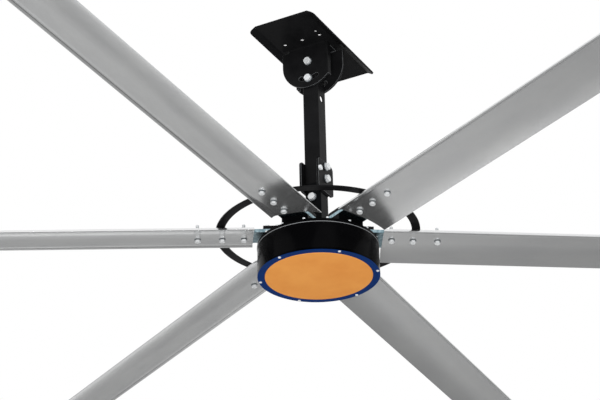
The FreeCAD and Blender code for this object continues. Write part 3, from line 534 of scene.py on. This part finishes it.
def hexagon_nut():
    """Nut standing on its seat, bevelled at both ends."""
    return mesh_from_rings("hexagon_nut", [
        circle_ring(0.51, 0.05), circle_ring(0.57, 0), circle_ring(HEXAGON_SEAT, 0),
        hexagon_ring(HEXAGON_WIDTH, 0, HEXAGON_SLOPE, HEXAGON_SEAT),
        hexagon_ring(HEXAGON_WIDTH, NUT_HEIGHT, -HEXAGON_SLOPE, HEXAGON_SEAT),
        circle_ring(HEXAGON_SEAT, NUT_HEIGHT), circle_ring(0.57, NUT_HEIGHT),
        circle_ring(0.51, NUT_HEIGHT - 0.05)], loop=True)


def plain_washer():
    """Stamped washer with one rounded edge."""
    return mesh_from_rings("plain_washer", [
        circle_ring(0.545, 0), circle_ring(0.93, 0), circle_ring(0.95, 0.03), circle_ring(0.95, 0.13),
        circle_ring(0.91, WASHER_HEIGHT), circle_ring(0.56, WASHER_HEIGHT),
        circle_ring(0.545, WASHER_HEIGHT - 0.02)], loop=True)


def socket_cap():
    """Cap screw head above the seat with a hexagon socket."""
    return mesh_from_rings("socket_cap", [
        circle_ring(0.8, 0), circle_ring(0.8, 0.9), circle_ring(0.74, 1.0), circle_ring(0.47, 1.0),
        hexagon_ring(0.75, 0.96), hexagon_ring(0.75, 0.45)])


def cross_pan():
    """Pan head below the seat with a cross recess."""
    return mesh_from_rings("cross_pan", [
        circle_ring(0.9, 0), circle_ring(0.9, -0.18), circle_ring(0.82, -0.34), circle_ring(0.6, -0.46),
        circle_ring(0.44, -0.5), cross_ring(0.42, 0.14, -0.48), cross_ring(0.36, 0.1, -0.22)])


# Geometry Nodes that set the fasteners out

def new_tree(name, inputs):
    """Start a node tree with a geometry in and out and named inputs."""
    tree = bpy.data.node_groups.new(name, "GeometryNodeTree")
    tree.interface.new_socket("Geometry", in_out="INPUT", socket_type="NodeSocketGeometry")
    for label, kind in inputs:
        tree.interface.new_socket(label, in_out="INPUT", socket_type="NodeSocket" + kind)
    tree.interface.new_socket("Geometry", in_out="OUTPUT", socket_type="NodeSocketGeometry")
    return tree, add(tree, "NodeGroupInput").outputs


def set_out(tree, given, geometry):
    """Finish a tree: one copy of the geometry at each turned point, made real and painted."""
    facing = add(tree, "GeometryNodeInputNamedAttribute", {"Name": "facing"}, data_type="QUATERNION")
    copies = add(tree, "GeometryNodeInstanceOnPoints", {"Points": given["Geometry"], "Instance": geometry,
                                                        "Rotation": facing.outputs["Attribute"]})
    real = add(tree, "GeometryNodeRealizeInstances", {"Geometry": copies.outputs["Instances"]})
    painted = add(tree, "GeometryNodeSetMaterial", {"Geometry": real.outputs["Geometry"],
                                                    "Material": given["Finish"]})
    add(tree, "NodeGroupOutput", {"Geometry": painted.outputs["Geometry"]})
    return tree


def scaled_template(tree, given):
    """Geometry of the template object, scaled to the thread diameter."""
    template = add(tree, "GeometryNodeObjectInfo", {"Object": given["Template"]})
    scale = add(tree, "ShaderNodeCombineXYZ", {axis: given["Diameter"] for axis in "XYZ"})
    sized = add(tree, "GeometryNodeTransform", {"Geometry": template.outputs["Geometry"],
                                                "Scale": scale.outputs["Vector"]})
    return sized.outputs["Geometry"]


def lifted(tree, geometry, height):
    """Geometry moved along Z by a height."""
    shift = add(tree, "ShaderNodeCombineXYZ", {"Z": height}).outputs["Vector"]
    raised = add(tree, "GeometryNodeTransform", {"Geometry": geometry, "Translation": shift})
    return raised.outputs["Geometry"]


def plain_set_tree():
    """Copies of a template, scaled to a thread diameter."""
    tree, given = new_tree("fastener_set", [("Template", "Object"), ("Diameter", "Float"),
                                            ("Finish", "Material")])
    return set_out(tree, given, scaled_template(tree, given))


def bolt_set_tree():
    """Bolts: a scaled head, a plain shank and a helical thread on its last stretch."""
    tree, given = new_tree("bolt_set", [("Template", "Object"), ("Diameter", "Float"), ("Length", "Float"),
                                        ("Thread", "Float"), ("Pitch", "Float"), ("Finish", "Material")])
    radius = compute(tree, "MULTIPLY", given["Diameter"], MM / 2)
    depth = compute(tree, "MULTIPLY", given["Pitch"], 0.5)
    core = compute(tree, "SUBTRACT", radius, depth)
    plain = compute(tree, "SUBTRACT", given["Length"], given["Thread"])
    turns = compute(tree, "DIVIDE", given["Thread"], given["Pitch"])
    helix = add(tree, "GeometryNodeCurveSpiral", {"Resolution": 16, "Rotations": turns, "Start Radius": core,
                                                  "End Radius": core, "Height": given["Thread"]})
    ridge = add(tree, "GeometryNodeCurvePrimitiveCircle", {"Resolution": 3, "Radius": depth})
    thread = add(tree, "GeometryNodeCurveToMesh", {"Curve": helix.outputs["Curve"], "Fill Caps": True,
                                                   "Profile Curve": ridge.outputs["Curve"]})
    pieces = [scaled_template(tree, given), lifted(tree, thread.outputs["Mesh"], plain)]
    for width, length in ((radius, plain), (core, given["Length"])):
        rod = add(tree, "GeometryNodeMeshCylinder", {"Vertices": 20, "Radius": width, "Depth": length})
        middle = compute(tree, "MULTIPLY", length, 0.5)
        pieces.append(lifted(tree, rod.outputs["Mesh"], middle))
    joined = add(tree, "GeometryNodeJoinGeometry")
    for piece in pieces:
        tree.links.new(piece, joined.inputs["Geometry"])
    return set_out(tree, given, joined.outputs["Geometry"])


def points_object(name, places):
    """Object whose vertices are the places and whose attribute holds their turns."""
    mesh = bpy.data.meshes.new(name)
    mesh.from_pydata([place.translation for place in places], [], [])
    facing = mesh.attributes.new("facing", "QUATERNION", "POINT")
    for entry, place in zip(facing.data, places):
        entry.value = place.to_quaternion()
    points = bpy.data.objects.new(name, mesh)
    scene.collection.objects.link(points)
    return points


def made_plain(name, source):
    """Plain mesh object from what an object's modifiers give."""
    evaluated = source.evaluated_get(bpy.context.evaluated_depsgraph_get())
    mesh = bpy.data.meshes.new_from_object(evaluated)
    bpy.data.objects.remove(source)
    piece = bpy.data.objects.new(name, mesh)
    scene.collection.objects.link(piece)
    return piece


def place_set(node, tree, places, values):
    """Set fasteners out on their places in place of a CAD node."""
    points = points_object(node + "_places", places)
    modifier = points.modifiers.new("set", "NODES")
    modifier.node_group = tree
    sockets = {item.name: item.identifier for item in tree.interface.items_tree
               if item.in_out == "INPUT"}
    for label, value in values.items():
        modifier[sockets[label]] = value
    piece = made_plain(node + "_detailed", points)
    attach(piece, body_of[node])
    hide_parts(node)
    return piece


# Build

record = frame["record"]
body_of = {node: body for body, members in record["behaviour"]["bodies"].items() for node in members}
slot_of = {part["node"]: part["material_slot"] for part in record["subparts"]}


def paint_nodes():
    """Give every CAD node the material of its slot; each blade's lines run along it."""
    finishes = {
        "black_paint": gloss_black_powder_coat(),
        "casing_black": gloss_black_casing_paint(),
        "stem_black": gloss_black_stem_paint(),
        "zinc_fastener": bright_zinc(),
        "zinc_iron": blue_zinc(),
        "orange_paint": satin_orange_paint(),
        "blue_paint": gloss_blue_enamel(),
        "ground_steel": ground_steel(),
        "casting": cast_iron(),
        "core_steel": stacked_core_sheets(),
        "copper_winding": varnished_copper(),
        "magnet": sintered_magnet(),
    }
    for name, node in nodes.items():
        node.data.materials.clear()
        if slot_of[name] == "blade_aluminium":
            index = int(name.split("_")[1]) - 1
            node.data.materials.append(extruded_aluminium(blade_turn(index)))
        else:
            node.data.materials.append(finishes[slot_of[name]])
    return finishes


def soften(name, width, edge=None):
    """Round a node's sharp edges a little, as bending, casting and paint leave them.

    The rounded edges get a colour of their own where one is given, such as a lighter grey that is a painted
    highlight.
    """
    node = nodes[name]
    weld = node.modifiers.new("weld", "WELD")
    weld.merge_threshold = 0.001 * MM
    flat = node.modifiers.new("flat", "DECIMATE")
    flat.decimate_type = "DISSOLVE"
    flat.angle_limit = math.radians(0.5)
    bevel = node.modifiers.new("edge", "BEVEL")
    bevel.width = width * MM
    bevel.segments = 2
    bevel.limit_method = "ANGLE"
    bevel.angle_limit = math.radians(25)
    if edge:
        node.data.materials.append(edge)
        bevel.material = 1
    even = node.modifiers.new("even", "WEIGHTED_NORMAL")
    even.weight = 100
    node.data.polygons.foreach_set("use_smooth", [True] * len(node.data.polygons))


def make_fasteners(finish, washer_finish):
    """Bolts, nuts, washers and screws with their real heads and threads."""
    single = plain_set_tree()
    bolts = bolt_set_tree()
    templates = {"head": hexagon_head(), "nut": hexagon_nut(), "washer": plain_washer(),
                 "cap": socket_cap(), "pan": cross_pan()}

    def pieces(node, template, diameter, places):
        """Copies of one template in place of a node."""
        place_set(node, single, places, {"Template": templates[template], "Diameter": diameter,
                                         "Finish": washer_finish if template == "washer" else finish})

    def bolts_at(node, diameter, length, thread, places):
        """Bolts of a length under the head, threaded at the end, in place of a node."""
        place_set(node, bolts, places, {"Template": templates["head"], "Diameter": float(diameter),
                                        "Length": length * MM, "Thread": thread * MM,
                                        "Pitch": THREAD_PITCH * diameter * MM, "Finish": finish})

    def clamped(name, diameter, grip, places):
        """Bolts through a grip with a nut and two washers each."""
        washer = WASHER_HEIGHT * diameter
        seat = grip + washer
        nut = NUT_HEIGHT * diameter
        many = "s" if len(places) > 1 else ""
        bolts_at(f"{name}_bolt{many}", diameter, seat + washer + nut + BOLT_END, nut * 2,
                 [place @ moved(z=-washer) for place in places])
        pieces(f"{name}_nut{many}", "nut", float(diameter), [place @ moved(z=seat) for place in places])
        both = [place @ moved(z=height) for height in (-washer, grip) for place in places]
        pieces(f"{name}_washers", "washer", float(diameter), both)

    front = moved(0, -CHEEK_OUTER, -PIVOT_DROP) @ FRONT_TO_BACK
    clamped("pivot", HEAVY_BOLT, CHEEK_OUTER * 2, [front])
    lock = moved(0, -CHEEK_OUTER - SLIDE_GAP, -PIVOT_DROP - LOCK_DROP) @ FRONT_TO_BACK
    clamped("lock", HEAVY_BOLT, (CHEEK_OUTER + SLIDE_GAP) * 2, [lock])
    clamped("stem", HEAVY_BOLT, TUBE_HALF * 2, [moved(0, -TUBE_HALF, -STEM_BOLT_DROP) @ FRONT_TO_BACK])
    splice, ear = splice_places()
    clamped("splice", HEAVY_BOLT, SPLICE_OUTER * 2, splice)
    bolts_at("ear_screw", MEDIUM_BOLT, SPLICE_THICKNESS, SPLICE_THICKNESS / 2, [ear])

    washer = WASHER_HEIGHT * MEDIUM_BOLT
    nut = NUT_HEIGHT * MEDIUM_BOLT
    short = (BOLT_INNER, BOLT_OUTER)
    seat = -BLADE_BOTTOM - washer
    bolts_at("blade_bolts", MEDIUM_BOLT, BLADE_TOP + washer + nut + BLADE_BOLT_END - seat,
             nut + BLADE_BOLT_END, on_blades(short, seat))
    bolts_at("ring_bolts", MEDIUM_BOLT, RING_NUT_SEAT + nut + BOLT_END - seat, nut * 2,
             on_blades((BOLT_RING,), seat))
    pieces("blade_nuts", "nut", float(MEDIUM_BOLT),
           on_blades(short, BLADE_TOP + washer) + on_blades((BOLT_RING,), RING_NUT_SEAT))
    under = [place @ moved(z=washer) @ FLIPPED for place in on_blades(short + (BOLT_RING,), seat)]
    pieces("blade_washers", "washer", float(MEDIUM_BOLT), under + on_blades(short, BLADE_TOP))
    bolts_at("clamp_screws", LIGHT_BOLT, CLAMP_SCREW_LENGTH, CLAMP_SCREW_THREAD, clamp_screw_places())
    pieces("top_cover_screws", "cap", float(TOP_SCREW),
           round_hub(TOP_SCREW_RADIUS, TOP_SCREW_COUNT, TOP_SCREW_ANGLE, HUB_TOP))
    pieces("rim_screws", "pan", float(RIM_SCREW),
           round_hub(RIM_SCREW_RADIUS, BLADE_COUNT, RIM_SCREW_ANGLE, 0))


def make_weld_beads(node, along, out, root, finish):
    """Rippled fillet welds in place of a node's plain ones, one on each side of the middle."""
    low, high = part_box(node)
    leg = WELD_LEG * MM
    step = WELD_RIPPLE * MM
    start, end = low.dot(along), high.dot(along)
    quarter = [math.pi * eighth / 8 for eighth in range(5)]
    arc = [Vector((0, 0))] + [Vector((math.cos(a), math.sin(a))) for a in quarter]
    work = bmesh.new()
    for side in (-1, 1):
        rows = []
        for index in range(int((end - start) / step) + 1):
            for swell, shift in ((0.86, 0.0), (1.0, 0.55)):
                middle = along * min(start + (index + shift) * step, end)
                middle += out * side * root * MM + UP * high.z
                corners = [middle + (out * side * p.x - UP * p.y) * swell * leg for p in arc]
                rows.append([work.verts.new(corner) for corner in corners])
        for lower, upper in zip(rows, rows[1:]):
            for corner in range(len(arc)):
                following = (corner + 1) % len(arc)
                work.faces.new((lower[corner], lower[following], upper[following], upper[corner]))
        work.faces.new(rows[0])
        work.faces.new(rows[-1])
    bmesh.ops.recalc_face_normals(work, faces=work.faces)
    mesh = bpy.data.meshes.new(node + "_rippled")
    work.to_mesh(mesh)
    work.free()
    mesh.polygons.foreach_set("use_smooth", [True] * len(mesh.polygons))
    mesh.set_sharp_from_angle(angle=math.radians(50))
    mesh.materials.append(finish)
    beads = bpy.data.objects.new(node + "_rippled", mesh)
    scene.collection.objects.link(beads)
    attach(beads, body_of[node])
    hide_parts(node)


def make_camera():
    """Camera below the hub and to the right, as in the photograph."""
    place = (2.90207, -5.58651, -3.90694)
    azimuth = math.radians(27.98)
    elevation = math.radians(-27.65)
    roll = math.radians(-1.3)
    right = Vector((math.cos(azimuth), math.sin(azimuth), 0))
    back = Vector((math.sin(azimuth) * math.cos(elevation), -math.cos(azimuth) * math.cos(elevation),
                   math.sin(elevation)))
    up = back.cross(right)
    across = math.cos(roll) * right + math.sin(roll) * up
    upright = math.cos(roll) * up - math.sin(roll) * right
    data = bpy.data.cameras.new("camera")
    data.sensor_width = 36
    data.lens = 123.43
    data.clip_end = 200
    camera = bpy.data.objects.new("camera", data)
    turn = Matrix((across, upright, back)).transposed().to_4x4()
    camera.matrix_world = Matrix.Translation(place) @ turn
    scene.collection.objects.link(camera)
    scene.camera = camera


def add_lamp(name, place, aim, width, length, power):
    """Soft lamp of a width and length that points at a place and is itself never seen."""
    data = bpy.data.lights.new(name, "AREA")
    data.shape = "RECTANGLE"
    data.size = width
    data.size_y = length
    data.energy = power
    lamp = bpy.data.objects.new(name, data)
    lamp.location = place
    lamp.rotation_euler = (Vector(aim) - Vector(place)).to_track_quat("-Z", "Y").to_euler()
    lamp.visible_camera = False
    lamp.visible_glossy = False
    scene.collection.objects.link(lamp)


def make_world():
    """White surroundings: plain white where seen or mirrored, softer as light."""
    world = bpy.data.worlds.new("studio")
    scene.world = world
    world.use_nodes = True
    tree = world.node_tree
    tree.nodes.clear()
    path = add(tree, "ShaderNodeLightPath").outputs
    seen = compute(tree, "MAXIMUM", path["Is Camera Ray"], path["Is Glossy Ray"])
    shown = compute(tree, "MAXIMUM", seen, path["Is Transmission Ray"])
    light = add(tree, "ShaderNodeBackground", {"Color": (1, 1, 1, 1), "Strength": 0.6})
    white = add(tree, "ShaderNodeBackground", {"Color": (1, 1, 1, 1), "Strength": 1.0})
    mixed = blend(tree, shown, light.outputs["Background"], white.outputs["Background"])
    add(tree, "ShaderNodeOutputWorld", {"Surface": mixed})


def make_stage():
    """Grey floor well below the fan, soft lamps and white surroundings."""
    square = ((-1, -1), (1, -1), (1, 1), (-1, 1))
    corners = [(x * FLOOR_HALF, y * FLOOR_HALF, FLOOR_LEVEL) for x, y in square]
    mesh = bpy.data.meshes.new("floor")
    mesh.from_pydata(corners, [], [(0, 1, 2, 3)])
    mesh.materials.append(floor_paint())
    floor = bpy.data.objects.new("floor", mesh)
    scene.collection.objects.link(floor)
    add_lamp("key_lamp", (2.2, -4.6, -3.9), HUB_POINT, 2.0, 2.0, 355)
    # the blades mirror these bright patches of the floor
    add_lamp("floor_lamp", (-4.5, 6.0, -4.3), (-4.5, 6.0, FLOOR_LEVEL), 4.5, 9.0, 160)
    add_lamp("near_floor_lamp", (-3.4, 1.8, -4.5), (-3.4, 1.8, FLOOR_LEVEL), 1.6, 1.6, 32)
    add_lamp("far_floor_lamp", (-14.0, 18.0, -3.5), (-14.0, 18.0, FLOOR_LEVEL), 6.0, 6.0, 150)
    add_lamp("top_lamp", (1.5, 1.0, 6.0), HUB_POINT, 4.0, 4.0, 200)
    make_world()


scene.view_settings.view_transform = "Standard"
finishes = paint_nodes()
# the rounded edges of the yoke and splice plates are painted lighter grey: a painted highlight
edge = painted_highlight_black_edge()
for name in ("yoke", "splice_plate_right", "splice_plate_left"):
    soften(name, PLATE_EDGE, edge)
for name in ("top_plate", "motor_stem", "safety_ring"):
    soften(name, PLATE_EDGE)
for index in range(1, BLADE_COUNT + 1):
    soften(f"clamp_{index}", CLAMP_EDGE)
    soften(f"spigot_{index}", IRON_EDGE)
soften("drop_tube", TUBE_EDGE)
# the washers' darker zinc is a painted shade round the bolt heads
make_fasteners(finishes["zinc_fastener"], shaded_washer_zinc())
make_weld_beads("yoke_welds", ACROSS, BACK, CHEEK_OUTER, finishes["black_paint"])
make_weld_beads("splice_welds", BACK, ACROSS, TUBE_HALF, finishes["black_paint"])
make_stage()
make_camera()
